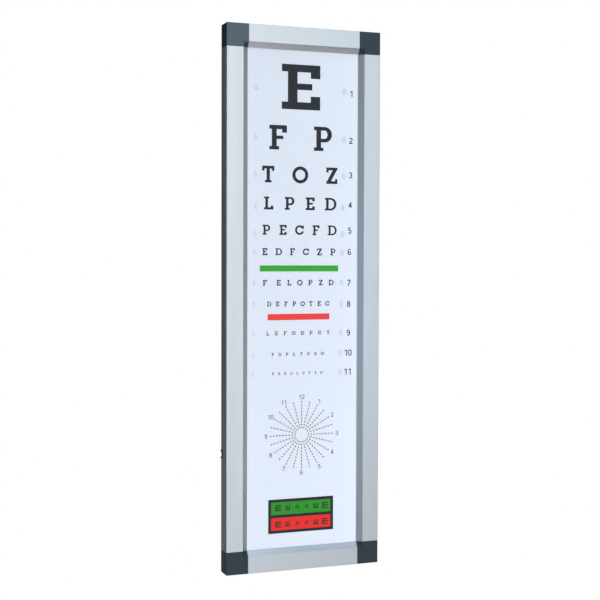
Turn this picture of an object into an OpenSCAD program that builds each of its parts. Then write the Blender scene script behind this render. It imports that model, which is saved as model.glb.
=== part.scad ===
// Slim wall-hung light box with a printed sight-test chart.
//
// A frame of four base rails and four corner blocks holds a stack of sheets: reflector, light guide,
// diffuser, printed film and clear cover. Two boards of LEDs shine into the long edges of the light guide.
// Four snap rails hinge at the outer edge of the frame and press the cover sheet down with a bevelled lip,
// so that the chart can be changed from the front.
//
// The origin is the centre of the face that lies on the wall. +Z is up, the front faces -Y.
// Rail sections are drawn with x counted inwards from the outer edge and y = 0 at the wall.

/* [Box] */
// Overall width
box_w = 266; // [220:1:400]
// Overall height
box_h = 884; // [880:1:1000]
// Overall depth
box_d = 28; // [27:0.5:32]

/* [Frame] */
// Width of a rail's flat front face
rail_flat = 28; // [27:0.5:34]
// Width of a rail's bevelled lip
lip_w = 9; // [8:0.5:12]
// How far the lip slopes back
lip_drop = 6; // [5:0.5:6.5]
// Thickness of the snap rail's metal
snap_t = 1.8; // [1.6:0.1:2]
// Thickness of the base rail's walls
wall_t = 1.5; // [1.2:0.1:1.6]
// How far a corner block's legs reach into the rails
leg_len = 20; // [16:1:30]

/* [Hinge] */
// Hinge axis, counted inwards from the outer edge
hinge_in = 2.6; // [2.5:0.1:3]
// Hinge axis, counted back from the front face
hinge_back = 3.2; // [3.2:0.1:3.6]
// Radius of the round bead that the snap rail turns on
bead_r = 1.3; // [1.2:0.05:1.3]
// Running gap around the bead
bead_gap = 0.08; // [0.05:0.01:0.1]

/* [Sheets] */
// Thickness of the clear cover sheet
cover_t = 0.7; // [0.5:0.1:0.8]
// Thickness of the printed film
film_t = 0.35; // [0.2:0.05:0.4]
// Thickness of the diffuser sheet
diffuser_t = 1; // [0.5:0.1:1.2]
// Thickness of the light guide
guide_t = 5; // [4:0.5:5]
// Thickness of the reflector sheet
reflector_t = 0.4; // [0.2:0.1:0.5]
// Thickness of the back panel
panel_t = 1.5; // [1.2:0.1:1.6]

/* [Lighting] */
// Spacing of the LEDs
led_pitch = 12.5; // [8:0.5:25]
// Height of the power lead's inlet above the middle of the box
inlet_z = -249; // [-300:1:-230]
// Radius of the inlet's half-round notch
inlet_r = 6; // [5:0.5:6]

/* [Hanging] */
// Distance between the two keyholes
keyhole_spacing = 150; // [120:1:170]
// Radius of a keyhole's round entry
keyhole_r = 4.5; // [4:0.1:5]
// Height of the keyhole entries above the middle of the box
keyhole_z = 366; // [340:1:370]

/* [Hidden] */

$fn = 48;
eps = 0.01;
rail_w = rail_flat + lip_w;
block = rail_w;
side_len = box_h - 2 * block;
end_len = box_w - 2 * block;
end_gap = 0.3;

// Depths behind the front face.
rest_gap = 0.1;
lip_back = lip_drop + 1.3;
cover_d = lip_back + rest_gap;
print_t = 0.15;
print_d = cover_d + cover_t + rest_gap;
film_d = print_d + print_t;
diffuser_d = film_d + film_t + rest_gap;
guide_d = diffuser_d + diffuser_t + rest_gap;
reflector_d = guide_d + guide_t + rest_gap;
shelf_d = reflector_d + reflector_t + rest_gap;
panel_d = box_d - panel_t;
flange_d = panel_d - wall_t;

// Distances inwards from the outer edge.
outer_t = 1.8;
bridge_d = 6.5;
neck_half = 0.6;
sheet_in = rail_flat + 1.2;
web_in = sheet_in - 3.9;
board_in = web_in + wall_t;
board_t = 1;
led_t = 0.8;
shelf_end = rail_w - 2;
sheet_w = box_w - 2 * sheet_in;
sheet_h = box_h - 2 * sheet_in;
panel_in = 3;

// Colours
silver = [0.80, 0.82, 0.84];
raw_metal = [0.62, 0.64, 0.66];
charcoal = [0.22, 0.26, 0.30];
steel = [0.70, 0.71, 0.73];

// ---- placing ----

// Puts a rail section, extruded about z = 0, on one of the four sides.
module on_side(side) {
    if (side == "left") translate([-box_w / 2, 0, 0]) children();
    if (side == "right") mirror([1, 0, 0]) translate([-box_w / 2, 0, 0]) children();
    if (side == "top") translate([0, 0, box_h / 2]) rotate([0, 90, 0]) children();
    if (side == "bottom") mirror([0, 0, 1]) translate([0, 0, box_h / 2]) rotate([0, 90, 0]) children();
}

// Extrudes a section drawn as [inwards, depth behind the front].
module extruded(length) {
    translate([0, -box_d, -length / 2]) linear_extrude(length) children();
}

// A box given by its depth behind the front face, centred on x and z.
module sheet(w, h, depth, t) {
    translate([-w / 2, depth - box_d, -h / 2]) cube([w, t, h]);
}

// Things that repeat along a rail.
module along(count, pitch) {
    for (i = [0 : count - 1]) translate([0, 0, (i - (count - 1) / 2) * pitch]) children();
}

// ---- base rails ----

module base_section() {
    translate([0, bridge_d]) square([outer_t, box_d - bridge_d]);
    translate([0, bridge_d]) square([hinge_in + neck_half, wall_t]);
    translate([hinge_in - neck_half, hinge_back]) square([2 * neck_half, bridge_d + eps - hinge_back]);
    translate([hinge_in, hinge_back]) circle(bead_r);
    translate([0, flange_d]) square([board_in, wall_t]);
    translate([web_in, guide_d - 0.9]) square([wall_t, panel_d - guide_d + 0.9]);
    translate([web_in, shelf_d]) square([shelf_end - web_in, wall_t]);
}

corner_screw_in = 13.5;
corner_screw_back = block + leg_len / 2;
screw_r = 1.45;
screw_hole_r = 1.5;
head_r = 2.9;

// Back-panel screws: positions along a rail, counted from its middle.
side_screws = [-360, -180, 0, 180, 360];
end_screws = [-40, 40];
panel_screw_in = 18;

// A cutter for a screw hole through a rail's back flange, with or without a countersink.
module flange_hole(at, inwards, sunk) {
    translate([inwards, flange_d - box_d, at]) rotate([-90, 0, 0]) {
        translate([0, 0, -eps]) cylinder(r = screw_hole_r, h = wall_t + 2 * eps);
        if (sunk) cylinder(r1 = screw_hole_r, r2 = head_r + 0.05, h = wall_t + eps);
    }
}

module base_rail(side, length, screws) {
    color(raw_metal) on_side(side) difference() {
        extruded(length) base_section();
        for (s = [-1, 1]) flange_hole(s * (length / 2 + block - corner_screw_back), corner_screw_in, true);
        for (at = screws) flange_hole(at, panel_screw_in, false);
        if (side == "left") translate([-1, 0, inlet_z]) rotate([0, 90, 0]) {
            cylinder(r = inlet_r, h = outer_t + 1);
            translate([0, 0, outer_t + 1]) cylinder(r = inlet_r + 1.3, h = 12);
        }
        if (side == "left" || side == "right") for (d = [guide_mid, wire_d])
            translate([web_in - 1, d - box_d, wire_z]) rotate([0, 90, 0]) cylinder(r = 2.9, h = wall_t + 2);
    }
}

// ---- snap rails ----

hook_r = 2.6;
hook_from = -55;
hook_to = 140;
catch_in = 12;
catch_end = 8;

// The part of the ring around the bead that stays open, as a wide wedge.
module hook_mouth() {
    mouth = 360 - (hook_to - hook_from);
    wedge = [for (i = [0 : 6]) let (a = hook_to + mouth * i / 6) [6 * cos(a), -6 * sin(a)]];
    translate([hinge_in, hinge_back]) polygon(concat([[0, 0]], wedge));
}

module snap_section() {
    edge = 0.7;
    slope = lip_drop / lip_w;
    polygon(concat(
        [for (i = [0 : 6]) let (a = 180 + 15 * i) [edge + edge * cos(a), edge + edge * sin(a)]],
        [[rail_flat, 0], [rail_w, lip_drop], [rail_w, lip_back], [rail_w - 1.4, lip_back],
         [rail_w - 1.4 - (lip_back - snap_t) / slope, snap_t], [0, snap_t]]));
    difference() {
        translate([hinge_in, hinge_back]) circle(hook_r);
        translate([hinge_in, hinge_back]) circle(bead_r + bead_gap);
        hook_mouth();
    }
    translate([catch_in, snap_t - eps]) square([1.4, catch_end - snap_t + eps]);
    translate([catch_in - 0.8, catch_end - 1]) square([2.2, 1]);
    translate([rail_flat - 4, snap_t - eps]) square([1.4, 2]);
}

module snap_rail(side, length) {
    color(silver) on_side(side) extruded(length - 2 * end_gap) snap_section();
}

// ---- corner blocks ----

module corner_profile() {
    polygon([[0, 0], [rail_flat, 0], [rail_w, lip_drop], [rail_w, box_d], [0, box_d]]);
}

// A leg that slides into the end of a base rail.
module corner_leg() {
    fit = 0.3;
    x0 = outer_t + fit;
    x1 = web_in - fit;
    d0 = bridge_d + wall_t + fit;
    d1 = flange_d - fit;
    skin = 2.4;
    difference() {
        union() {
            difference() {
                translate([x0, d0 - box_d, block - 1]) cube([x1 - x0, d1 - d0, leg_len + 1]);
                translate([x0 + skin, d0 + skin - box_d, block + skin])
                    cube([x1 - x0 - 2 * skin, d1 - d0, leg_len - 2 * skin]);
            }
            translate([corner_screw_in, d0 - box_d, corner_screw_back]) rotate([-90, 0, 0])
                cylinder(r = 3.6, h = d1 - d0);
        }
        translate([corner_screw_in, d1 - 9 - box_d, corner_screw_back]) rotate([-90, 0, 0])
            cylinder(r = screw_hole_r, h = 10);
    }
}

// One corner block, drawn from its outer corner: x and z run inwards along the two rails.
module corner_shape() {
    skin = 2.4;
    round_r = 1.2;
    chamfer = 0.6;
    difference() {
        union() {
            translate([0, -box_d, 0]) linear_extrude(block) corner_profile();
            translate([0, -box_d, 0]) mirror([1, 0, -1]) linear_extrude(block) corner_profile();
            corner_leg();
            mirror([1, 0, -1]) corner_leg();
        }
        // rounded outer edge and eased front edges
        translate([0, 1, 0]) rotate([90, 0, 0]) linear_extrude(box_d + 2) difference() {
            translate([-1, -1]) square([1 + round_r, 1 + round_r]);
            translate([round_r, round_r]) circle(round_r);
        }
        for (m = [0, 1]) mirror([m, 0, -m])
            translate([0, -box_d, -1]) linear_extrude(block + 2)
                polygon([[-1, -1], [chamfer + 1, -1], [chamfer, 0], [0, chamfer], [-1, chamfer]]);
        // hollow behind the front skin
        translate([skin, skin - box_d, skin]) cube([rail_flat - 2 - skin, box_d, rail_flat - 2 - skin]);
        translate([skin, 9 - box_d, skin]) cube([block - 2 * skin, box_d, block - 2 * skin]);
        // room for the sheets and the back panel
        translate([sheet_in - 0.5, lip_back - box_d, sheet_in - 0.5]) cube([block, box_d, block]);
        translate([panel_in - 0.4, panel_d - box_d, panel_in - 0.4]) cube([block, panel_t + 1, block]);
    }
}

module corner(right, low) {
    color(charcoal)
        mirror([right, 0, 0]) mirror([0, 0, low]) translate([-box_w / 2, 0, box_h / 2])
            mirror([0, 0, 1]) corner_shape();
}

// ---- leaf springs under the snap rails ----

spring_w = 14;

// A bowed strip between the rail's bridge and the catch of the snap rail.
module spring_section() {
    x0 = hinge_in + 1.6;
    x1 = catch_in - 1.3;
    mid = (x0 + x1) / 2;
    bow_r = (x1 - x0) / 2;
    difference() {
        translate([mid, bridge_d + 1]) circle(bow_r);
        translate([mid, bridge_d + 1]) circle(bow_r - 0.4);
        translate([0, 0]) square([2 * mid, bridge_d + 1]);
    }
    translate([x0, bridge_d - 0.2]) square([0.4, 1.25]);
    translate([x1 - 0.4, bridge_d - 0.2]) square([0.4, 1.25]);
}

module rail_springs(side, count, pitch) {
    color("slategray") on_side(side) along(count, pitch) extruded(spring_w) spring_section();
}

// ---- sheets ----

module back_panel() {
    color(steel) difference() {
        sheet(box_w - 2 * panel_in, box_h - 2 * panel_in, panel_d, panel_t);
        for (side = ["left", "right"]) on_side(side) for (at = side_screws) panel_countersink(at);
        for (side = ["top", "bottom"]) on_side(side) for (at = end_screws) panel_countersink(at);
        for (s = [-1, 1]) translate([s * keyhole_spacing / 2, 0, keyhole_z]) keyhole_window();
        rivet_places() rivet_hole();
    }
}

module panel_countersink(at) {
    translate([panel_screw_in, -panel_t, at]) rotate([-90, 0, 0]) {
        translate([0, 0, -eps]) cylinder(r = screw_hole_r, h = panel_t + 1);
        cylinder(r1 = screw_hole_r, r2 = head_r + 0.05, h = panel_t + eps);
    }
}

window_r = 4;
window_low = -8;
window_high = 18;
window_half = 9;

module keyhole_window() {
    translate([0, 1, 0]) rotate([90, 0, 0]) linear_extrude(panel_t + 2) {
        for (x = [-1, 1], z = [window_low + window_r, window_high - window_r])
            translate([x * (window_half - window_r), z]) circle(window_r);
        translate([-window_half, window_low + window_r])
            square([2 * window_half, window_high - window_low - 2 * window_r]);
        translate([-window_half + window_r, window_low])
            square([2 * (window_half - window_r), window_high - window_low]);
    }
}

module reflector_sheet() { color("white") sheet(sheet_w, sheet_h, reflector_d, reflector_t); }
module light_guide() { color([0.85, 0.95, 1.0]) sheet(sheet_w, sheet_h, guide_d, guide_t); }
module diffuser_sheet() { color([0.93, 0.94, 0.95]) sheet(sheet_w, sheet_h, diffuser_d, diffuser_t); }
module chart_film() { color([0.90, 0.93, 0.98]) sheet(sheet_w, sheet_h, film_d, film_t); }
module cover_sheet() { color([0.85, 0.90, 0.95, 0.3]) sheet(sheet_w, sheet_h, cover_d, cover_t); }

// ---- hanging ----

plate_t = 1.2;
slot_r = 2.3;
slot_up = 10;
rivet_r = 1.6;
rivet_at = 14;
plate_half = 19;

module hanger_plates() {
    color(steel) for (s = [-1, 1]) translate([s * keyhole_spacing / 2, panel_d - box_d - plate_t, keyhole_z])
        difference() {
            translate([-plate_half, 0, window_low - 5])
                cube([2 * plate_half, plate_t, window_high - window_low + 10]);
            translate([0, -1, 0]) rotate([-90, 0, 0]) cylinder(r = keyhole_r, h = plate_t + 2);
            translate([-slot_r, -1, 0]) cube([2 * slot_r, plate_t + 2, slot_up]);
            translate([0, -1, slot_up]) rotate([-90, 0, 0]) cylinder(r = slot_r, h = plate_t + 2);
            translate([-s * keyhole_spacing / 2, plate_t + panel_t, -keyhole_z]) rivet_places()
                cylinder(r = rivet_r + 0.05, h = panel_t + plate_t + 1);
        }
}

// Where the rivets of both plates go, with their axes towards -y.
module rivet_places() {
    for (s = [-1, 1], x = [-1, 1], z = [window_low, window_high])
        translate([s * keyhole_spacing / 2 + x * rivet_at, 0, keyhole_z + z]) rotate([90, 0, 0]) children();
}

// Flush rivets: a countersunk head in the back panel and a domed tail behind the plate.
module hanger_rivets() {
    color(steel) rivet_places() {
        translate([0, 0, 0.1]) cylinder(r1 = 2.5, r2 = rivet_r, h = 1);
        translate([0, 0, 0.1]) cylinder(r = rivet_r, h = panel_t + plate_t);
        translate([0, 0, panel_t + plate_t]) cylinder(r1 = 2.6, r2 = 1.8, h = 0.9);
    }
}

// The cutter for a rivet, through the panel and the plate.
module rivet_hole() {
    translate([0, 0, -eps]) cylinder(r1 = 2.75, r2 = rivet_r + 0.05, h = 1.1);
    cylinder(r = rivet_r + 0.05, h = panel_t + plate_t + 1);
}

// ---- lighting ----

board_h = 6;
guide_mid = guide_d + guide_t / 2;
led_count = floor((side_len - 20) / led_pitch);
wire_r = 0.7;
wire_d = 21;
wire_z = inlet_z + 50;

module led_board(side) {
    color("ivory") on_side(side) difference() {
        translate([board_in, guide_mid - board_h / 2 - box_d, 2 - side_len / 2])
            cube([board_t, board_h, side_len - 4]);
        for (z = [0, 3]) translate([board_in - 1, guide_mid - box_d, wire_z - 1.5 + z])
            rotate([0, 90, 0]) cylinder(r = 1.6 * wire_r, h = 3);
    }
}

module leds(side) {
    color("gold") on_side(side) along(led_count, led_pitch)
        translate([board_in + board_t, guide_mid - box_d, 0]) {
            translate([0, -1.4, -1.75]) cube([led_t - 0.1, 2.8, 3.5]);
            rotate([0, 90, 0]) cylinder(r = 1.1, h = led_t);
        }
}

// A flat wire through points [x, y], at one height, rounded where it turns.
module flat_wire(path, z) {
    translate([0, 0, z - wire_r]) linear_extrude(2 * wire_r) {
        for (i = [0 : len(path) - 2]) let (step = path[i + 1] - path[i])
            translate(path[i]) rotate(atan2(step[1], step[0])) translate([0, -wire_r])
                square([norm(step), 2 * wire_r]);
        for (i = [0 : len(path) - 2]) translate(path[i]) circle(wire_r + 0.1);
    }
}

// A pair of wires feeds each board: the near pair straight from the terminal block, the far pair across the
// back cavity.
module led_wiring() {
    left = -box_w / 2;
    block_end = inlet_z + block_up + block_len;
    front = guide_mid - box_d;
    back = wire_d - box_d;
    turn = left + 21;
    end = left + board_in + board_t / 2;
    color("firebrick") for (k = [-1, 1]) {
        from = left + block_in + k * block_pitch / 2;
        z = wire_z - 1.5 * k;
        near = block_wire_y;
        far = back + 2;
        for (y = [near, far]) translate([from, y, block_end - 2]) cylinder(r = wire_r, h = z - block_end + 2);
        flat_wire([[from, near], [turn, front], [end, front]], z);
        flat_wire([[from, far], [turn, back], [-turn, back], [-turn, front], [-end, front]], z);
    }
}

// ---- power inlet ----

block_in = 13;
block_pitch = 4.4;
block_up = 12;
block_len = 16;
block_top = 12;
block_wire_y = block_top + 3.4 - box_d;

// A split rubber ring that lines the notch, with a lip on each side of the wall.
module cable_grommet() {
    lip = 1;
    color([0.08, 0.08, 0.08]) translate([-box_w / 2, 0, inlet_z]) rotate([0, 90, 0]) difference() {
        union() {
            translate([0, 0, -lip]) cylinder(r = inlet_r + 1, h = lip);
            cylinder(r = inlet_r, h = outer_t);
            translate([0, 0, outer_t]) cylinder(r = inlet_r + 1, h = lip);
        }
        translate([0, 0, -2]) cylinder(r = inlet_r - 1.3, h = outer_t + 4);
        translate([-10, 0, -2]) cube([20, 10, outer_t + 4]);
        translate([-10, panel_d - box_d - 0.1, panel_in - 0.3]) cube([20, 10, 4]);
    }
}

module at_block() {
    translate([block_in - box_w / 2, block_top - box_d, inlet_z + block_up]) children();
}

// Two-way block that the power lead's wires are clamped in, standing on the rail's back flange.
module terminal_block() {
    w = 2 * block_pitch + 1.2;
    h = flange_d - block_top;
    color("whitesmoke") at_block() difference() {
        translate([-w / 2, 0, 0]) cube([w, h, block_len]);
        translate([-0.5, -1, -1]) cube([1, 3, block_len + 2]);
        for (k = [-1, 1]) translate([k * block_pitch / 2, 0, 0]) {
            for (y = [3.4, wire_d + 2 - block_top]) translate([0, y, -1]) cylinder(r = 1, h = block_len + 2);
            for (z = [4, block_len - 4]) translate([0, -1, z]) rotate([-90, 0, 0]) cylinder(r = 1.6, h = 3);
        }
    }
}

module terminal_screws() {
    color(steel) at_block() for (k = [-1, 1], z = [4, block_len - 4])
        translate([k * block_pitch / 2, 0.7, z]) rotate([-90, 0, 0]) difference() {
            cylinder(r = 1.5, h = 1.2);
            translate([-2, -0.2, -eps]) cube([4, 0.4, 0.5]);
        }
}

// ---- screws ----

// A countersunk screw whose head is flush with y = 0 and whose point is towards -y.
module countersunk_screw(length) {
    head_h = 1.5;
    recess = 0.9;
    rotate([90, 0, 0]) difference() {
        union() {
            cylinder(r1 = head_r - 0.05, r2 = screw_r, h = head_h);
            cylinder(r = screw_r, h = length - 1.5);
            translate([0, 0, length - 1.5]) cylinder(r1 = screw_r, r2 = 0.3, h = 1.5);
        }
        for (a = [0, 90]) rotate([0, 0, a]) translate([-1.6, -0.3, -eps]) cube([3.2, 0.6, recess]);
    }
}

module corner_screws() {
    color(steel) for (side = ["left", "right", "top", "bottom"]) on_side(side) {
        half = (side == "left" || side == "right" ? box_h : box_w) / 2;
        for (s = [-1, 1]) translate([corner_screw_in, -panel_t, s * (half - corner_screw_back)])
            countersunk_screw(9.5);
    }
}

module back_panel_screws() {
    color(steel) {
        for (side = ["left", "right"]) on_side(side) for (at = side_screws)
            translate([panel_screw_in, 0, at]) countersunk_screw(7);
        for (side = ["top", "bottom"]) on_side(side) for (at = end_screws)
            translate([panel_screw_in, 0, at]) countersunk_screw(7);
    }
}

// ---- block letters ----
// Each is h high and w wide, with its lower left corner at the origin.
// st is the width of its stem, sl the thickness of its slabs, over how far a serif runs past the stem.

module stem(h, st, over) { translate([over, 0]) square([st, h]); }
module end_block(h, w, at, st) { translate([w - st, at]) square([st, 0.3 * h]); }

module letter_e(h, w, st, sl, over) {
    stem(h, st, over);
    for (y = [0, h - sl]) translate([0, y]) square([w, sl]);
    end_block(h, w, 0, st);
    end_block(h, w, 0.7 * h, st);
    translate([over, 0.44 * h]) square([0.79 * w - over, 0.14 * h]);
}

module letter_f(h, w, st, sl, over) {
    stem(h, st, over);
    translate([0, h - sl]) square([w, sl]);
    end_block(h, w, 0.7 * h, st);
    translate([over, 0.43 * h]) square([0.79 * w - over, 0.14 * h]);
    square([2 * over + st, 0.14 * h]);
}

module letter_l(h, w, st, sl, over) {
    stem(h, st, over);
    square([w, sl]);
    end_block(h, w, 0, st);
    translate([0, 0.86 * h]) square([2 * over + st, 0.14 * h]);
}

module letter_t(h, w, st, sl, over) {
    translate([(w - st) / 2, 0]) square([st, h]);
    translate([0, h - sl]) square([w, sl]);
    for (x = [0, w - 0.15 * h]) translate([x, 0.7 * h]) square([0.15 * h, 0.3 * h]);
    translate([(w - st) / 2 - over, 0]) square([st + 2 * over, 0.14 * h]);
}

// The rounded part of a P or D: from the stem to the right edge, between y0 and the top.
module bowl(h, w, y0, st, sl, over) {
    r = (h - y0) / 2;
    difference() {
        union() {
            translate([over, y0]) square([w - r - over, h - y0]);
            translate([0, h - sl]) square([w - r, sl]);
            intersection() {
                translate([w - r, y0 + r]) circle(r);
                translate([w - r - eps, y0]) square([r + eps, h - y0]);
            }
        }
        translate([over, y0 + sl]) square([w - r - over, h - y0 - 2 * sl]);
        translate([w - r, y0 + r]) scale([(r - st) / (r - sl), 1]) circle(r - sl);
    }
}

module letter_p(h, w, st, sl, over) {
    stem(h, st, over);
    bowl(h, w, 0.36 * h, 0.95 * st, 0.15 * h, over);
    square([2 * over + st, 0.14 * h]);
}

module letter_d(h, w, st, sl, over) {
    stem(h, st, over);
    bowl(h, w, 0, 0.95 * st, 0.15 * h, over);
    square([over + st, 0.15 * h]);
}

module letter_o(h, w, st) {
    translate([w / 2, h / 2]) difference() {
        circle(w / 2);
        circle(w / 2 - 0.95 * st);
    }
}

module letter_c(h, w, st) {
    difference() {
        letter_o(h, w, st);
        translate([w / 2, h / 2]) polygon([[0, 0], [w, 0.44 * h], [w, -0.34 * h]]);
    }
    translate([w - 0.19 * h, 0.62 * h]) square([0.16 * h, 0.32 * h]);
}

module letter_z(h, w, st, sl) {
    for (y = [0, h - sl]) translate([0, y]) square([w, sl]);
    polygon([[0, sl / 2], [1.25 * st, sl / 2], [w, h - sl / 2], [w - 1.25 * st, h - sl / 2]]);
    translate([0, 0.7 * h]) square([0.15 * h, 0.3 * h]);
    translate([w - 0.15 * h, 0]) square([0.15 * h, 0.3 * h]);
}

module letter(c, h, w, st, sl, over) {
    if (c == "E") letter_e(h, w, st, sl, over);
    if (c == "F") letter_f(h, w, st, sl, over);
    if (c == "L") letter_l(h, w, st, sl, over);
    if (c == "T") letter_t(h, w, st, sl, over);
    if (c == "P") letter_p(h, w, st, sl, over);
    if (c == "D") letter_d(h, w, st, sl, over);
    if (c == "O") letter_o(h, w, st);
    if (c == "C") letter_c(h, w, st);
    if (c == "Z") letter_z(h, w, st, sl);
}

// How wide a letter is, as a share of its height.
function letter_share(c) =
    c == "O" ? 1.03 : c == "C" ? 0.97 : c == "D" ? 0.98 : c == "P" ? 0.8
    : c == "T" ? 0.78 : c == "Z" ? 0.73 : 0.76;

// ---- numerals ----

// A ring, or the part of it between two angles, in a numeral's stroke.
module arc_stroke(x, y, r, stroke, from, to) {
    translate([x, y]) difference() {
        circle(r);
        circle(r - stroke);
        if (to - from < 360)
            polygon(concat([[0, 0]], [for (i = [0 : 6]) let (a = to + (360 - to + from) * i / 6)
                                      [1.6 * r * cos(a), 1.6 * r * sin(a)]]));
    }
}

// A numeral h high and 0.6 h wide, centred on x = 0, in a stroke that is a share of its height.
module numeral(n, h, stroke) {
    s = stroke * h;
    w = 0.6 * h;
    r = w / 2;
    translate([-r, 0]) {
        if (n == 0) {
            arc_stroke(r, r, r, s, 180, 360);
            arc_stroke(r, h - r, r, s, 0, 180);
            for (x = [0, w - s]) translate([x, r]) square([s, h - w]);
        }
        if (n == 1) {
            translate([0.56 * w, 0]) square([s, h]);
            polygon([[0.62 * w, h], [0.62 * w, h - 1.3 * s], [0.18 * w, 0.7 * h],
                     [0.18 * w, 0.7 * h + 1.1 * s]]);
        }
        if (n == 2) {
            turn = -40;
            side = [cos(turn), sin(turn)];
            top = [r, h - r] + (r - s / 2) * side;
            foot = top + (top[1] - s / 2) / cos(turn) * [sin(turn), -cos(turn)];
            arc_stroke(r, h - r, r, s, turn - 1, 165);
            polygon([top + side * s / 2, top - side * s / 2, foot - side * s / 2, foot + side * s / 2]);
            square([w, s]);
        }
        if (n == 3) {
            arc_stroke(r, h - 0.95 * r, 0.95 * r, s, -90, 155);
            arc_stroke(r, 1.02 * r, 1.02 * r, s, -155, 90);
        }
        if (n == 4) {
            translate([0.62 * w, 0]) square([s, h]);
            translate([0, 0.24 * h]) square([w, s]);
            polygon([[0, 0.24 * h], [1.3 * s, 0.24 * h], [0.62 * w + s, h - s],
                     [0.62 * w + s, h], [0.62 * w, h]]);
        }
        if (n == 5) {
            arc_stroke(r, 1.1 * r, 1.1 * r, s, -150, 130);
            translate([0.1 * w, h - s]) square([0.8 * w, s]);
            translate([0.1 * w, 0.5 * h]) square([s, 0.5 * h]);
        }
        if (n == 6) {
            arc_stroke(r, r, r, s, 0, 360);
            arc_stroke(r, h - r, r, s, 35, 180);
            translate([0, r]) square([s, h - w]);
        }
        if (n == 7) {
            translate([0, h - s]) square([w, s]);
            polygon([[w - 1.1 * s, h - s / 2], [w, h - s / 2], [0.42 * w, 0], [0.42 * w - 1.15 * s, 0]]);
        }
        if (n == 8) {
            arc_stroke(r, h - 0.92 * r, 0.92 * r, s, 0, 360);
            arc_stroke(r, r, r, s, 0, 360);
        }
        if (n == 9) {
            arc_stroke(r, h - r, r, s, 0, 360);
            arc_stroke(r, r, r, s, 215, 360);
            translate([w - s, r]) square([s, h - w]);
        }
    }
}

// A whole number below 1000, centred on the origin both ways.
module number(n, h, stroke) {
    pitch = 0.71 * h;
    digits = n > 99 ? [floor(n / 100), floor(n / 10) % 10, n % 10] : n > 9 ? [floor(n / 10), n % 10] : [n];
    for (i = [0 : len(digits) - 1])
        translate([(i - (len(digits) - 1) / 2) * pitch, -h / 2]) numeral(digits[i], h, stroke);
}

// ---- what is printed on the film ----

// Lays a flat drawing on the film's front, x to the right and y up.
module ink() {
    translate([0, film_d - box_d, 0]) rotate([90, 0, 0]) linear_extrude(print_t) children();
}

// Each row: its letters, their height, the line they stand on, and the pitch from letter to letter.
rows = [
    ["E", 72.7, 310.1, 0], ["FP", 39.5, 244.2, 78], ["TOZ", 26.8, 190.8, 55.4], ["LPED", 20.8, 147.1, 36],
    ["PECFD", 16.2, 106.3, 28.7], ["EDFCZP", 11.3, 73.3, 23.7], ["FELOPZD", 9.1, 24, 18.4],
    ["DEFPOTEC", 7.7, -9.8, 14.5], ["LEFODPCT", 6.2, -57, 15.1], ["FDPLTCEO", 5.1, -90.8, 12.4],
    ["PEZOLCFTD", 4.1, -121.9, 10.6]];

// In one row the first letter stands apart from the rest.
apart_row = 6;
apart = 3.5;

// Row numbers at the right: their height, their stroke, and how far each sits below its row's middle.
number_h = 10.3;
bold = 0.16;
number_x = 84.8;
number_drops = [7, 1.2, -1.5, 1, 0, 0, 0.6, 1.2, 1, 0, 0];

// Small-print fractions on both sides of the rows: the eye's score in metres and in feet.
feet = [200, 100, 70, 50, 40, 30, 25, 20, 15, 13, 10];
metres = [60, 30, 21, 15, 12, 9, 8, 6, 5, 4, 3];
fraction_h = 3.9;
fine = 0.13;
medium = 0.17;
metres_x = -80.7;
feet_x = 72.3;
fraction_drops = [3.3, 0, 0.5, 5.5, 6, 1, 0, 1, 1, 0, 1];

// Bars that mark two of the rows: left end, lower edge, width and height.
green_bar = [-74.1, 46.9, 136.6, 9.8];
red_bar = [-60.6, -32.4, 107.8, 10.1];

// The rows' middle drifts a little to the left from the top row down.
function row_middle(i) = -3.7 - 0.5 * i;
function row_centre(i) = rows[i][2] + rows[i][1] / 2;

module chart_row(i) {
    row = rows[i];
    h = row[1];
    big = i == 0;
    for (k = [0 : len(row[0]) - 1]) {
        w = (big ? 0.917 : letter_share(row[0][k])) * h;
        shift = i == apart_row ? (k == 0 ? -apart : apart / 2) : 0;
        translate([row_middle(i) + shift + (k - (len(row[0]) - 1) / 2) * row[3] - w / 2, row[2]])
            letter(row[0][k], h, w, (big ? 0.228 : 0.21) * h, 0.165 * h, (big ? 0.143 : 0.105) * h);
    }
}

// Colour-balance box: a framed pair of panels, each with a line of tumbling Es.
duo_x = -1.8;
duo_z = -353.8;
duo_w = 114;
duo_h = 56;
duo_edge = 4.8;
duo_sizes = [10, 8.4, 5.8, 5.4, 8.4, 10];
duo_turns = [0, 90, 180, 180, 90, 0];
duo_pitch = 16.4;

module tumbling_e(h, turn) {
    rotate(turn) {
        translate([-h / 2, -h / 2]) square([h / 5, h]);
        for (k = [-1, 0, 1]) translate([-h / 2, k * 0.4 * h - h / 10]) square([h, h / 5]);
    }
}

module duo_frame() {
    difference() {
        translate([duo_x - duo_w / 2, duo_z - duo_h / 2]) square([duo_w, duo_h]);
        duo_panel(1);
        duo_panel(-1);
    }
    for (half = [-1, 1], k = [0 : 5])
        translate([duo_x + 1.5 + (k - 2.5) * duo_pitch, duo_z + half * duo_h * 0.24])
            tumbling_e(duo_sizes[k], duo_turns[k]);
}

module duo_panel(half) {
    translate([duo_x - duo_w / 2 + duo_edge, duo_z + (half > 0 ? duo_edge / 2 : duo_edge - duo_h / 2)])
        square([duo_w - 2 * duo_edge, (duo_h - 3 * duo_edge) / 2]);
}

// Sunburst dial for astigmatism: 24 dashed spokes round a thin ring, numbered like a clock.
dial_x = -1;
dial_z = -221.4;
dial_ring_r = 12.3;
dial_ring_t = 0.9;
spoke_r = 15.2;
dashes = 8;
dash = 2.7;
dash_w = 1.6;
dash_pitch = 5.36;
dial_numbers_r = 62.3;
dial_number_h = 7.3;

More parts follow.
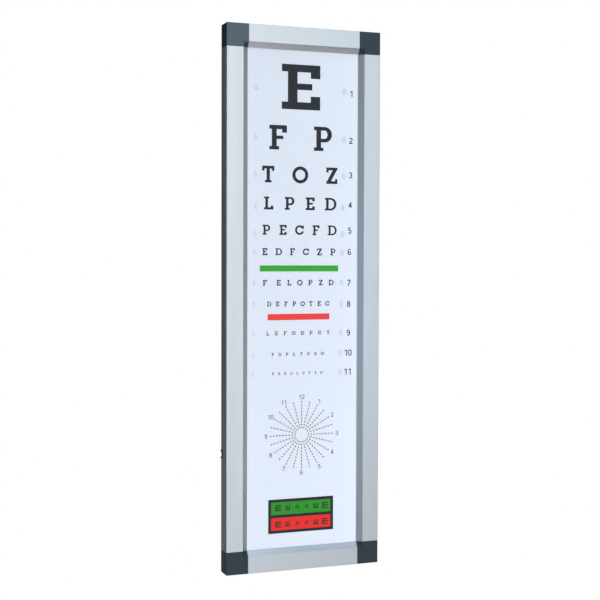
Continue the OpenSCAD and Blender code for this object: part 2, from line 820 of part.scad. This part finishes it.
module dial() {
    translate([dial_x, dial_z]) {
        for (i = [0 : 23], k = [0 : dashes - 1])
            rotate(15 * i) translate([spoke_r + k * dash_pitch, -dash_w / 2]) square([dash, dash_w]);
        difference() {
            circle(dial_ring_r);
            circle(dial_ring_r - dial_ring_t);
        }
        for (n = [1 : 12]) translate(dial_numbers_r * [sin(30 * n), cos(30 * n)])
            number(n, dial_number_h, fine);
    }
}

module fraction(top, bottom) {
    h = fraction_h;
    translate([0, 0.75 * h]) number(top, h, medium);
    translate([-1.1 * h, -0.08 * h]) square([2.2 * h, 0.16 * h]);
    translate([0, -0.75 * h]) number(bottom, h, medium);
}

module bar(b) { translate([b[0], b[1]]) square([b[2], b[3]]); }

module black_print() {
    color([0.15, 0.16, 0.17]) ink() {
        for (i = [0 : len(rows) - 1]) chart_row(i);
        duo_frame();
    }
}

module grey_print() {
    color([0.42, 0.47, 0.55]) ink() {
        for (i = [0 : len(rows) - 1])
            translate([number_x - 0.45 * i, row_centre(i) - number_drops[i]]) number(i + 1, number_h, bold);
        dial();
    }
}

module faint_print() {
    color([0.80, 0.84, 0.88]) ink() for (i = [0 : len(rows) - 1]) {
        z = row_centre(i) - fraction_drops[i];
        translate([metres_x - 0.5 * i, z]) fraction(6, metres[i]);
        translate([feet_x - 0.6 * i, z]) fraction(20, feet[i]);
    }
}

module green_print() {
    color([0.2, 0.65, 0.18]) ink() {
        bar(green_bar);
        difference() {
            duo_panel(1);
            duo_frame();
        }
    }
}

module red_print() {
    color([0.93, 0.25, 0.22]) ink() {
        bar(red_bar);
        difference() {
            duo_panel(-1);
            duo_frame();
        }
    }
}

// ---- what each node draws ----

base_rail("left", side_len, side_screws);  // left_base_rail
base_rail("right", side_len, side_screws);  // right_base_rail
base_rail("top", end_len, end_screws);  // top_base_rail
base_rail("bottom", end_len, end_screws);  // bottom_base_rail
snap_rail("left", side_len);  // left_snap_rail
snap_rail("right", side_len);  // right_snap_rail
snap_rail("top", end_len);  // top_snap_rail
snap_rail("bottom", end_len);  // bottom_snap_rail
corner(0, 0);  // top_left_corner
corner(1, 0);  // top_right_corner
corner(0, 1);  // bottom_left_corner
corner(1, 1);  // bottom_right_corner
rail_springs("left", 4, 200);  // left_rail_springs
rail_springs("right", 4, 200);  // right_rail_springs
rail_springs("top", 2, 100);  // top_rail_springs
rail_springs("bottom", 2, 100);  // bottom_rail_springs
back_panel();
reflector_sheet();
light_guide();
diffuser_sheet();
chart_film();
cover_sheet();
black_print();
grey_print();
faint_print();
green_print();
red_print();
led_board("left");  // left_led_board
led_board("right");  // right_led_board
leds("left");  // left_leds
leds("right");  // right_leds
led_wiring();
cable_grommet();
terminal_block();
terminal_screws();
corner_screws();
back_panel_screws();
hanger_plates();
hanger_rivets();
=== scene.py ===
"""Looks of the wall eye chart light box: materials, studio light and the camera."""
import math

import bpy  # noqa: E402
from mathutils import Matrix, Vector  # noqa: E402


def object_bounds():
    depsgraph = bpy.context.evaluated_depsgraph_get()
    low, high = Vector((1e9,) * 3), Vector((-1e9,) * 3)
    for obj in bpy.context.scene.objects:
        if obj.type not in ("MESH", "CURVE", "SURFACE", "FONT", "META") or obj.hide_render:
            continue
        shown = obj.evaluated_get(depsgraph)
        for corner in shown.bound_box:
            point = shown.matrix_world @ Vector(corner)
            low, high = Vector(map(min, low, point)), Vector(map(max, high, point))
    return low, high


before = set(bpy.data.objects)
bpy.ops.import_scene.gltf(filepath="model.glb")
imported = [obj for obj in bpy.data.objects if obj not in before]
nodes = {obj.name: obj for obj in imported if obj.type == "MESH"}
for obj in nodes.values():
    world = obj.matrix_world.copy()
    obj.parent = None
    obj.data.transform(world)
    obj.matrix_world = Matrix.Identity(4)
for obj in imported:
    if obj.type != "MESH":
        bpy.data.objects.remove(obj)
cad_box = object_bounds()

SIDES = ("left", "right", "top", "bottom")


# ---- node helpers ----

class Shader:
    """A Principled material with short helpers. Coordinates are the part's own frame, in metres."""

    def __init__(self, name, color, roughness, metallic=0.0, specular=0.5):
        self.mat = bpy.data.materials.new(name)
        self.mat.use_nodes = True
        self.tree = self.mat.node_tree
        self.bsdf = self.tree.nodes["Principled BSDF"]
        self.set("Base Color", (*color, 1.0))
        self.set("Roughness", roughness)
        self.set("Metallic", metallic)
        self.set("Specular IOR Level", specular)
        self.coords = self.add("ShaderNodeTexCoord").outputs["Object"]
        self.mat.diffuse_color = (*color, 1.0)

    def add(self, kind, **props):
        node = self.tree.nodes.new(kind)
        for key, value in props.items():
            setattr(node, key, value)
        return node

    def link(self, out, into):
        self.tree.links.new(out, into)

    def set(self, socket, value):
        self.bsdf.inputs[socket].default_value = value

    def scaled(self, scale):
        """The coordinates, stretched by scale on each axis."""
        mapping = self.add("ShaderNodeMapping")
        mapping.inputs["Scale"].default_value = scale
        self.link(self.coords, mapping.inputs["Vector"])
        return mapping.outputs["Vector"]

    def coordinate(self, axis):
        """One coordinate, in metres: X, Y or Z."""
        split = self.add("ShaderNodeSeparateXYZ")
        self.link(self.coords, split.inputs[0])
        return split.outputs[axis]

    def noise(self, scale, detail=3.0, rough=0.55, stretch=(1, 1, 1)):
        """Noise of about scale features to the metre, drawn out where stretch is small."""
        node = self.add("ShaderNodeTexNoise")
        node.inputs["Scale"].default_value = scale
        node.inputs["Detail"].default_value = detail
        node.inputs["Roughness"].default_value = rough
        self.link(self.scaled(stretch), node.inputs["Vector"])
        return node.outputs["Fac"]

    def span(self, value, low, high, from_low=0.3, from_high=0.7):
        """value, carried from from_low..from_high to low..high. The default suits one noise."""
        node = self.add("ShaderNodeMapRange")
        for key, number in (("From Min", from_low), ("From Max", from_high),
                            ("To Min", low), ("To Max", high)):
            node.inputs[key].default_value = number
        self.link(value, node.inputs["Value"])
        return node.outputs["Result"]

    def math(self, operation, a, b=None):
        node = self.add("ShaderNodeMath", operation=operation)
        for i, value in enumerate((a, b)):
            if value is None:
                continue
            if isinstance(value, (int, float)):
                node.inputs[i].default_value = value
            else:
                self.link(value, node.inputs[i])
        return node.outputs[0]

    def mix(self, factor, a, b):
        """Colour a where factor is 0, colour b where it is 1."""
        node = self.add("ShaderNodeMix", data_type="RGBA")
        self.link(factor, node.inputs["Factor"])
        for socket, value in ((node.inputs[6], a), (node.inputs[7], b)):
            if isinstance(value, tuple):
                socket.default_value = (*value, 1.0)
            else:
                self.link(value, socket)
        return node.outputs[2]

    def bump(self, height, distance, strength=1.0):
        node = self.add("ShaderNodeBump")
        node.inputs["Strength"].default_value = strength
        node.inputs["Distance"].default_value = distance
        self.link(height, node.inputs["Height"])
        if self.bsdf.inputs["Normal"].is_linked:
            self.link(self.bsdf.inputs["Normal"].links[0].from_socket, node.inputs["Normal"])
        self.link(node.outputs["Normal"], self.bsdf.inputs["Normal"])

    def edges(self, radius):
        """1 on sharp edges and 0 on flats: how far a rounded normal turns from the real one. The
        materials paint their edge highlights with it.
        """
        bevel = self.add("ShaderNodeBevel", samples=4)
        bevel.inputs["Radius"].default_value = radius
        geometry = self.add("ShaderNodeNewGeometry")
        dot = self.add("ShaderNodeVectorMath", operation="DOT_PRODUCT")
        self.link(bevel.outputs["Normal"], dot.inputs[0])
        self.link(geometry.outputs["Normal"], dot.inputs[1])
        return self.span(dot.outputs["Value"], 1.0, 0.0, 0.86, 0.995)


def shade(color, factor):
    return tuple(c * factor for c in color)


# ---- materials ----

# The range that span takes a sum of two noises from.
TWO_NOISES = (0.7, 1.3)


def anodised(name, color, along, roughness=0.40):
    """Satin anodised aluminium, with the fine die lines of an extrusion along one axis."""
    m = Shader(name, color, roughness, metallic=1.0)
    stretch = {"x": (0.012, 1, 1), "z": (1, 1, 0.012)}[along]
    lines = m.noise(1500, detail=4, stretch=stretch)
    bands = m.noise(170, detail=2, stretch=stretch)
    grain = m.noise(5200, detail=1)
    cloud = m.noise(5, detail=2)
    tone = m.mix(m.span(bands, 0.0, 1.0), shade(color, 0.965), shade(color, 1.02))
    cool = tuple(c * k for c, k in zip(color, (0.97, 1.0, 1.025)))
    tinted = m.mix(m.span(cloud, 0.0, 0.55), tone, cool)
    # Sharp edges are painted paler: a painted highlight.
    m.link(m.mix(m.edges(0.0005), tinted, shade(color, 1.1)), m.bsdf.inputs["Base Color"])
    m.link(m.span(m.math("ADD", lines, bands), roughness - 0.04, roughness + 0.06, *TWO_NOISES),
           m.bsdf.inputs["Roughness"])
    m.set("Anisotropic", 0.25)
    m.bump(lines, 0.000012)
    m.bump(grain, 0.000006)
    return m.mat


# A block with a painted highlight has its paler colour in front of the first depth and its own
# behind the second.
FACE_DEPTHS = (-0.0275, -0.026)


def moulded(name, color, roughness=0.5, grain=1300, depth=0.00005, specular=0.45, highlight_color=None):
    """Injection-moulded plastic with a spark-eroded grain, and a painted highlight along its sharp
    edges.

    Where a paler colour is given for the front face, that face is painted in it: a painted
    highlight, as if the light shone on it.
    """
    m = Shader(name, color, roughness, specular=specular)
    pits = m.noise(grain, detail=2)
    cloud = m.noise(28, detail=3)
    tone = m.mix(m.span(cloud, 0.0, 1.0), shade(color, 0.88), shade(color, 1.14))
    # Painted highlight: the front face is painted in the paler colour, and the sides keep their
    # own.
    if highlight_color:
        face = m.span(m.coordinate("Y"), 1.0, 0.0, *FACE_DEPTHS)
        pale = m.mix(m.span(cloud, 0.0, 1.0), shade(highlight_color, 0.93), shade(highlight_color, 1.07))
        tone = m.mix(face, tone, pale)
    # Sharp edges are painted paler: a painted highlight.
    m.link(m.mix(m.edges(0.0007), tone, shade(color, 1.9)), m.bsdf.inputs["Base Color"])
    m.link(m.span(m.math("ADD", pits, cloud), roughness - 0.07, roughness + 0.09, *TWO_NOISES),
           m.bsdf.inputs["Roughness"])
    m.bump(pits, depth)
    return m.mat


def galvanised(name, color):
    """Zinc-coated sheet steel: overlapping spangles of slightly different tone and gloss."""
    m = Shader(name, color, 0.42, metallic=1.0)
    cells = m.add("ShaderNodeTexVoronoi", feature="F1")
    cells.inputs["Scale"].default_value = 85
    cells.inputs["Randomness"].default_value = 1.0
    m.link(m.coords, cells.inputs["Vector"])
    split = m.add("ShaderNodeSeparateColor")
    m.link(cells.outputs["Color"], split.inputs[0])
    spangle, gloss = split.outputs[0], split.outputs[1]
    rolled = m.noise(900, detail=3, stretch=(1, 1, 0.02))
    dirt = m.noise(9, detail=4)
    tone = m.mix(m.span(spangle, 0.0, 1.0, 0.0, 1.0), shade(color, 0.82), shade(color, 1.12))
    dull = m.mix(m.span(dirt, 0.0, 0.35), tone, shade(color, 0.7))
    # Sharp edges are painted paler: a painted highlight.
    m.link(m.mix(m.edges(0.0004), dull, shade(color, 1.25)), m.bsdf.inputs["Base Color"])
    m.link(m.span(gloss, 0.34, 0.52, 0.0, 1.0), m.bsdf.inputs["Roughness"])
    m.bump(rolled, 0.000015)
    return m.mat


def plated(name, color, roughness=0.3):
    """Bright zinc plate or tempered strip, with small scuffs."""
    m = Shader(name, color, roughness, metallic=1.0)
    scuffs = m.noise(700, detail=4, stretch=(1, 1, 0.2))
    stain = m.noise(120, detail=2)
    tone = m.mix(m.span(stain, 0.0, 1.0), shade(color, 0.86), shade(color, 1.08))
    # Sharp edges are painted paler: a painted highlight.
    m.link(m.mix(m.edges(0.0003), tone, shade(color, 1.3)), m.bsdf.inputs["Base Color"])
    m.link(m.span(scuffs, roughness - 0.06, roughness + 0.12), m.bsdf.inputs["Roughness"])
    m.bump(scuffs, 0.00001)
    return m.mat


# Half the chart window's width, and its top edge's height.
HALF_WINDOW = 0.096
WINDOW_TOP = 0.405

# How far the glow departs from even, as shares of its strength. They follow the photo's shading.
LONG_EDGE_SHARE = 0.04
LEFT_RIGHT_SHARES = (-0.045, 0.065)
LOW_HIGH_SHARES = (0.20, -0.04)
CLOUD_SHARES = (-0.012, 0.012)


def glow(m, color, strength):
    """Light from behind: strongest low down, then to the right, then beside the long edges."""
    across = m.math("DIVIDE", m.math("ABSOLUTE", m.coordinate("X")), HALF_WINDOW)
    edge = m.span(m.math("POWER", across, 3.0), 0.0, LONG_EDGE_SHARE, 0.0, 1.0)
    lean = m.span(m.coordinate("X"), *LEFT_RIGHT_SHARES, -HALF_WINDOW, HALF_WINDOW)
    down = m.span(m.coordinate("Z"), *LOW_HIGH_SHARES, -0.8 * WINDOW_TOP, WINDOW_TOP)
    cloud = m.span(m.noise(7, detail=1), *CLOUD_SHARES)
    share = m.math("ADD", m.math("ADD", edge, down), m.math("ADD", lean, cloud))
    even = m.math("MULTIPLY", m.math("ADD", share, 1.0), strength)
    m.set("Emission Color", (*color, 1.0))
    m.link(even, m.bsdf.inputs["Emission Strength"])


def film(name, color, lit, strength):
    """Translucent backlit film with a faint coating mottle."""
    m = Shader(name, color, 0.6, specular=0.3)
    mottle = m.noise(420, detail=3)
    tone = m.mix(m.span(mottle, 0.0, 1.0), shade(color, 0.985), color)
    m.link(tone, m.bsdf.inputs["Base Color"])
    glow(m, lit, strength)
    m.bump(mottle, 0.00001)
    return m.mat


# The colour-balance box's prints all lie below this height, and the two bars above it.
ABOVE_BOX = -0.32


def ink(name, color, strength=0.0, boxed=None):
    """Printed ink: matt, slightly screened, and lit from behind where it lets light through.

    boxed is the colour of the denser coat in the colour-balance box at the foot of the chart.
    """
    m = Shader(name, color, 0.55, specular=0.35)
    screen = m.noise(1600, detail=2)
    tone = m.mix(m.span(screen, 0.0, 1.0), shade(color, 0.92), shade(color, 1.06))
    if strength:
        glow(m, color, strength)
    if boxed:
        low = m.math("LESS_THAN", m.coordinate("Z"), ABOVE_BOX)
        tone = m.mix(low, tone, boxed)
        m.link(m.mix(low, color, boxed), m.bsdf.inputs["Emission Color"])
    m.link(tone, m.bsdf.inputs["Base Color"])
    return m.mat


def clear_sheet(name, color, alpha):
    """Thin clear sheet with an anti-glare texture."""
    m = Shader(name, color, 0.32, specular=0.5)
    m.set("Alpha", alpha)
    haze = m.noise(2600, detail=2)
    m.link(m.span(haze, 0.27, 0.38), m.bsdf.inputs["Roughness"])
    m.bump(haze, 0.000008)
    return m.mat


# The solder mask's colour where a track lies under it.
OVER_TRACK = (0.72, 0.66, 0.45)


def circuit(name, color):
    """White solder mask with copper tracks faintly showing along the board."""
    m = Shader(name, color, 0.35, specular=0.5)
    tracks = m.add("ShaderNodeTexWave", wave_type="BANDS", bands_direction="Y")
    tracks.inputs["Scale"].default_value = 160
    m.link(m.coords, tracks.inputs["Vector"])
    tone = m.mix(m.span(tracks.outputs["Fac"], 0.0, 0.5, 0.7, 0.9), color, OVER_TRACK)
    m.link(tone, m.bsdf.inputs["Base Color"])
    m.bump(tracks.outputs["Fac"], 0.00002)
    return m.mat


def led_lens(name, color):
    """Phosphor under clear resin, softly lit."""
    m = Shader(name, color, 0.2, specular=0.6)
    dots = m.noise(2500, detail=2)
    tone = m.mix(m.span(dots, 0.0, 1.0), shade(color, 0.9), shade(color, 1.05))
    m.link(tone, m.bsdf.inputs["Base Color"])
    m.set("Emission Color", (1.0, 0.95, 0.82, 1.0))
    m.set("Emission Strength", 1.6)
    return m.mat


def dress(material, *names):
    """Gives CAD nodes this material."""
    for name in names:
        o = nodes[name]
        for s in o.material_slots:
            s.material = material
        if not o.material_slots:
            o.data.materials.append(material)


SILVER = (0.80, 0.82, 0.835)
DULL_SILVER = (0.72, 0.735, 0.75)
CHARCOAL = (0.036, 0.057, 0.074)
# The paler charcoal painted on the top left corner's front face: a painted highlight.
HIGHLIT_CHARCOAL = (0.138, 0.190, 0.224)

dress(anodised("anodised_upright", SILVER, "z"), "left_snap_rail", "right_snap_rail")
dress(anodised("anodised_level", SILVER, "x"), "top_snap_rail", "bottom_snap_rail")
dress(anodised("base_upright", DULL_SILVER, "z", 0.46), "left_base_rail", "right_base_rail")
dress(anodised("base_level", DULL_SILVER, "x", 0.46), "top_base_rail", "bottom_base_rail")
dress(moulded("corner_plastic", CHARCOAL, 0.38),
      "top_right_corner", "bottom_left_corner", "bottom_right_corner")
# The top left corner's front face carries a painted highlight.
dress(moulded("corner_plastic_highlit", CHARCOAL, 0.42, highlight_color=HIGHLIT_CHARCOAL), "top_left_corner")
dress(galvanised("galvanised_sheet", (0.60, 0.62, 0.64)), "back_panel")
dress(film("white_reflector", (0.93, 0.93, 0.92), (1, 1, 1), 0.0), "reflector_sheet")
dress(clear_sheet("guide_acrylic", (0.88, 0.96, 1.0), 0.45), "light_guide")
dress(film("milky_diffuser", (0.90, 0.92, 0.95), (0.9, 0.95, 1.0), 0.25), "diffuser_sheet")
dress(film("backlit_film", (0.80, 0.84, 0.90), (0.85, 0.90, 1.0), 0.415), "chart_film")
dress(clear_sheet("clear_cover", (0.5, 0.52, 0.55), 0.03), "cover_sheet")
dress(ink("black_ink", (0.012, 0.014, 0.019)), "black_print")
dress(ink("grey_ink", (0.070, 0.083, 0.118), 0.13), "grey_print")
dress(ink("faint_ink", (0.500, 0.522, 0.545), 0.42), "faint_print")
dress(ink("green_ink", (0.030, 0.36, 0.015), 0.50, boxed=(0.012, 0.27, 0.003)),
      "green_print")
dress(ink("red_ink", (0.84, 0.040, 0.035), 0.50, boxed=(0.775, 0.012, 0.005)), "red_print")
dress(circuit("led_circuit", (0.86, 0.86, 0.82)), "left_led_board", "right_led_board")
dress(led_lens("led_phosphor", (0.95, 0.85, 0.35)), "left_leds", "right_leds")
dress(moulded("wire_insulation", (0.50, 0.035, 0.03), 0.35, 2500, 0.00001), "led_wiring")
dress(moulded("grommet_rubber", (0.016, 0.016, 0.017), 0.65, 2200, 0.00003, 0.3),
      "cable_grommet")
dress(moulded("terminal_nylon", (0.80, 0.79, 0.75), 0.45, 1800, 0.00002), "terminal_block")
dress(plated("zinc_screws", (0.72, 0.72, 0.70)),
      "terminal_screws", "corner_screws", "back_panel_screws")
dress(plated("hanger_zinc", (0.66, 0.67, 0.68), 0.36), "hanger_plates", "hanger_rivets")
dress(plated("blued_spring", (0.30, 0.33, 0.40), 0.32), *(f"{s}_rail_springs" for s in SIDES))


# ---- studio ----

def around(azimuth, elevation, distance):
    """A point round the box: azimuth 0 is straight in front, positive to the reader's right."""
    a, e = math.radians(azimuth), math.radians(elevation)
    return Vector((math.sin(a) * math.cos(e), -math.cos(a) * math.cos(e), math.sin(e))) * distance


def soft_box(name, azimuth, elevation, distance, size, radiance, color=(1, 1, 1)):
    """A square area light of that radiance, facing the middle of the box."""
    light = bpy.data.lights.new(name, "AREA")
    light.size = size
    light.energy = radiance * math.pi * size * size
    light.color = color
    o = bpy.data.objects.new(name, light)
    o.location = around(azimuth, elevation, distance)
    o.rotation_euler = (-o.location).to_track_quat("-Z", "Y").to_euler()
    bpy.context.scene.collection.objects.link(o)


# Each soft box: its name, azimuth, elevation, distance, size, radiance and colour.
LIGHTS = (
    ("high_left", 2, 24, 3.2, 1.5, 1.34, (1.0, 0.97, 0.96)),
    ("high_right", 30, 24, 3.2, 1.5, 0.87, (0.73, 0.89, 1.0)),
    ("middle_left", 3, 0, 3.2, 1.4, 1.41, (1.0, 1.0, 0.99)),
    ("middle_right", 30, 0, 3.2, 1.4, 0.93, (0.66, 0.85, 1.0)),
    ("low_left", 2, -24, 3.2, 1.5, 1.18, (0.87, 0.94, 1.0)),
    ("low_right", 30, -24, 3.2, 1.5, 0.39, (0.97, 0.95, 1.0)),
    ("left_fill", -50, -5, 3.0, 1.8, 0.58, (0.58, 0.76, 1.0)),
    ("right_fill", 86, -24, 3.0, 1.2, 0.16, (0.7, 0.85, 1.0)),
    ("rear_left_low", -158, -26, 3.2, 1.6, 0.17, (1.0, 0.95, 0.88)),
    ("overhead", 5, 72, 2.8, 2.2, 1.96, (0.59, 0.77, 1.0)),
    ("floor_bounce", 5, -72, 2.8, 2.2, 0.71, (1.0, 0.98, 1.0)),
    ("rear_high", 150, 28, 3.2, 2.2, 2.40, (1.0, 1.0, 1.0)),
    ("rear_low", 150, -28, 3.2, 2.2, 1.80, (1.0, 1.0, 1.0)),
)
for light in LIGHTS:
    soft_box(*light)

WHITE = (1.0, 1.0, 1.0, 1.0)


def white_world(ambient):
    """A white backdrop to look at, and a dim even light from all round."""
    world = bpy.data.worlds.new("studio")
    bpy.context.scene.world = world
    world.use_nodes = True
    tree = world.node_tree
    tree.nodes.clear()
    path = tree.nodes.new("ShaderNodeLightPath")
    mix = tree.nodes.new("ShaderNodeMixShader")
    out = tree.nodes.new("ShaderNodeOutputWorld")
    tree.links.new(path.outputs["Is Camera Ray"], mix.inputs[0])
    for index, strength in ((1, ambient), (2, 1.0)):
        background = tree.nodes.new("ShaderNodeBackground")
        background.inputs["Color"].default_value = WHITE
        background.inputs["Strength"].default_value = strength
        tree.links.new(background.outputs[0], mix.inputs[index])
    tree.links.new(mix.outputs[0], out.inputs["Surface"])


def pale_floor(level, size):
    """A plain pale floor well below the box, which neither lights nor shades it."""
    bpy.ops.mesh.primitive_plane_add(size=size, location=(0, 0, level))
    floor = bpy.context.object
    floor.name = "studio_floor"
    mat = bpy.data.materials.new("studio_floor")
    mat.use_nodes = True
    tree = mat.node_tree
    tree.nodes.clear()
    emit = tree.nodes.new("ShaderNodeEmission")
    emit.inputs["Color"].default_value = WHITE
    emit.inputs["Strength"].default_value = 1.0
    out = tree.nodes.new("ShaderNodeOutputMaterial")
    tree.links.new(emit.outputs[0], out.inputs["Surface"])
    floor.data.materials.append(mat)
    for kind in ("diffuse", "glossy", "transmission", "shadow"):
        setattr(floor, f"visible_{kind}", False)


AMBIENT = 0.07
FLOOR_DROP = 0.9
FLOOR_SIZE = 60

white_world(AMBIENT)
pale_floor(cad_box[0].z - FLOOR_DROP, FLOOR_SIZE)
bpy.context.scene.view_settings.view_transform = "Standard"


# ---- camera ----

# Lens and sensor in millimetres, place in metres and turn in degrees, as fitted to the photo.
LENS = 74.75
SENSOR = 36.0
EYE = (-0.721, -1.927, 0.0727)
TURN = (87.96, -0.18, -20.58)

camera = bpy.data.cameras.new("camera")
camera.lens = LENS
camera.sensor_width = SENSOR
view = bpy.data.objects.new("camera", camera)
view.location = EYE
view.rotation_euler = [math.radians(angle) for angle in TURN]
bpy.context.scene.collection.objects.link(view)
bpy.context.scene.camera = view
